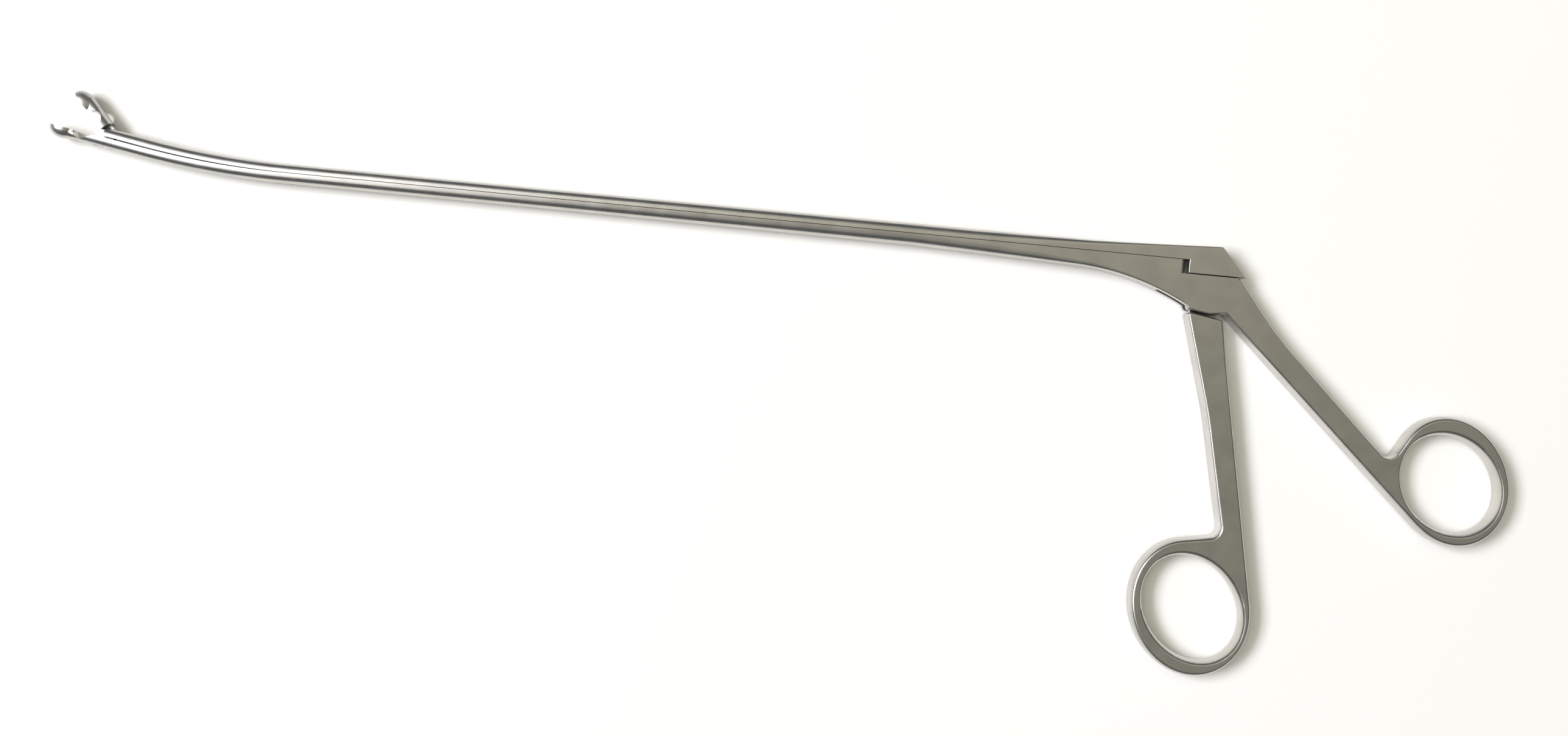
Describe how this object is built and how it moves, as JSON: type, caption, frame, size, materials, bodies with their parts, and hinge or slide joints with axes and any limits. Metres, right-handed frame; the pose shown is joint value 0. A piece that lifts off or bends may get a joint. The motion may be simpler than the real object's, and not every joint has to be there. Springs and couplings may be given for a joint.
{
  "type": "laryngeal cup forceps",
  "caption": "Long slender forceps with a split sliding shaft curved up near its tip, a hinged cup jaw and scissor rings; the lever slides the upper shaft half and shuts the cup.",
  "frame": {"origin": "bottom centre of the bounding box of the forceps lying on their side with the jaw open", "axes": "+X from the cups along the straight shaft to the rings, +Y from the finger ring up to the shaft, +Z the thickness"},
  "size_m": [0.3069, 0.0983, 0.005],
  "materials": {
    "fixed_shaft_handle": "satin",
    "sliding_shaft": "satin",
    "finger_lever": "satin",
    "upper_cup_jaw": "satin",
    "lever_pivot_pin": "satin",
    "jaw_hinge_pin": "satin",
    "jaw_drive_pin": "satin"
  },
  "bodies": {
    "frame": {"fixed_shaft_handle": "fixed_shaft_handle", "lever_pivot_pin": "lever_pivot_pin", "jaw_hinge_pin": "jaw_hinge_pin"},
    "slider": {"sliding_shaft": "sliding_shaft", "jaw_drive_pin": "jaw_drive_pin"},
    "lever": {"finger_lever": "finger_lever"},
    "jaw": {"upper_cup_jaw": "upper_cup_jaw"}
  },
  "joints": [
    {"name": "lever_pivot", "type": "hinge", "parent": "frame", "child": "lever", "pos_m": [0.08744, 0.02875, 0.0025], "axis": [0, 0, 1], "range_deg": [0, 12]},
    {"name": "shaft_slide", "type": "slide", "parent": "frame", "child": "slider", "axis": [-1, 0, 0], "range_m": [0, 0.00146]},
    {"name": "jaw_hinge", "type": "hinge", "parent": "frame", "child": "jaw", "pos_m": [-0.14135, 0.03864, 0.0025], "axis": [0, 0, 1], "range_deg": [0, 38.43]}
  ],
  "couplings": [
    {"joint": "shaft_slide", "follows": "lever_pivot", "m_per_rad": 0.006987},
    {"joint": "jaw_hinge", "follows": "lever_pivot", "ratio": 3.2022}
  ]
}
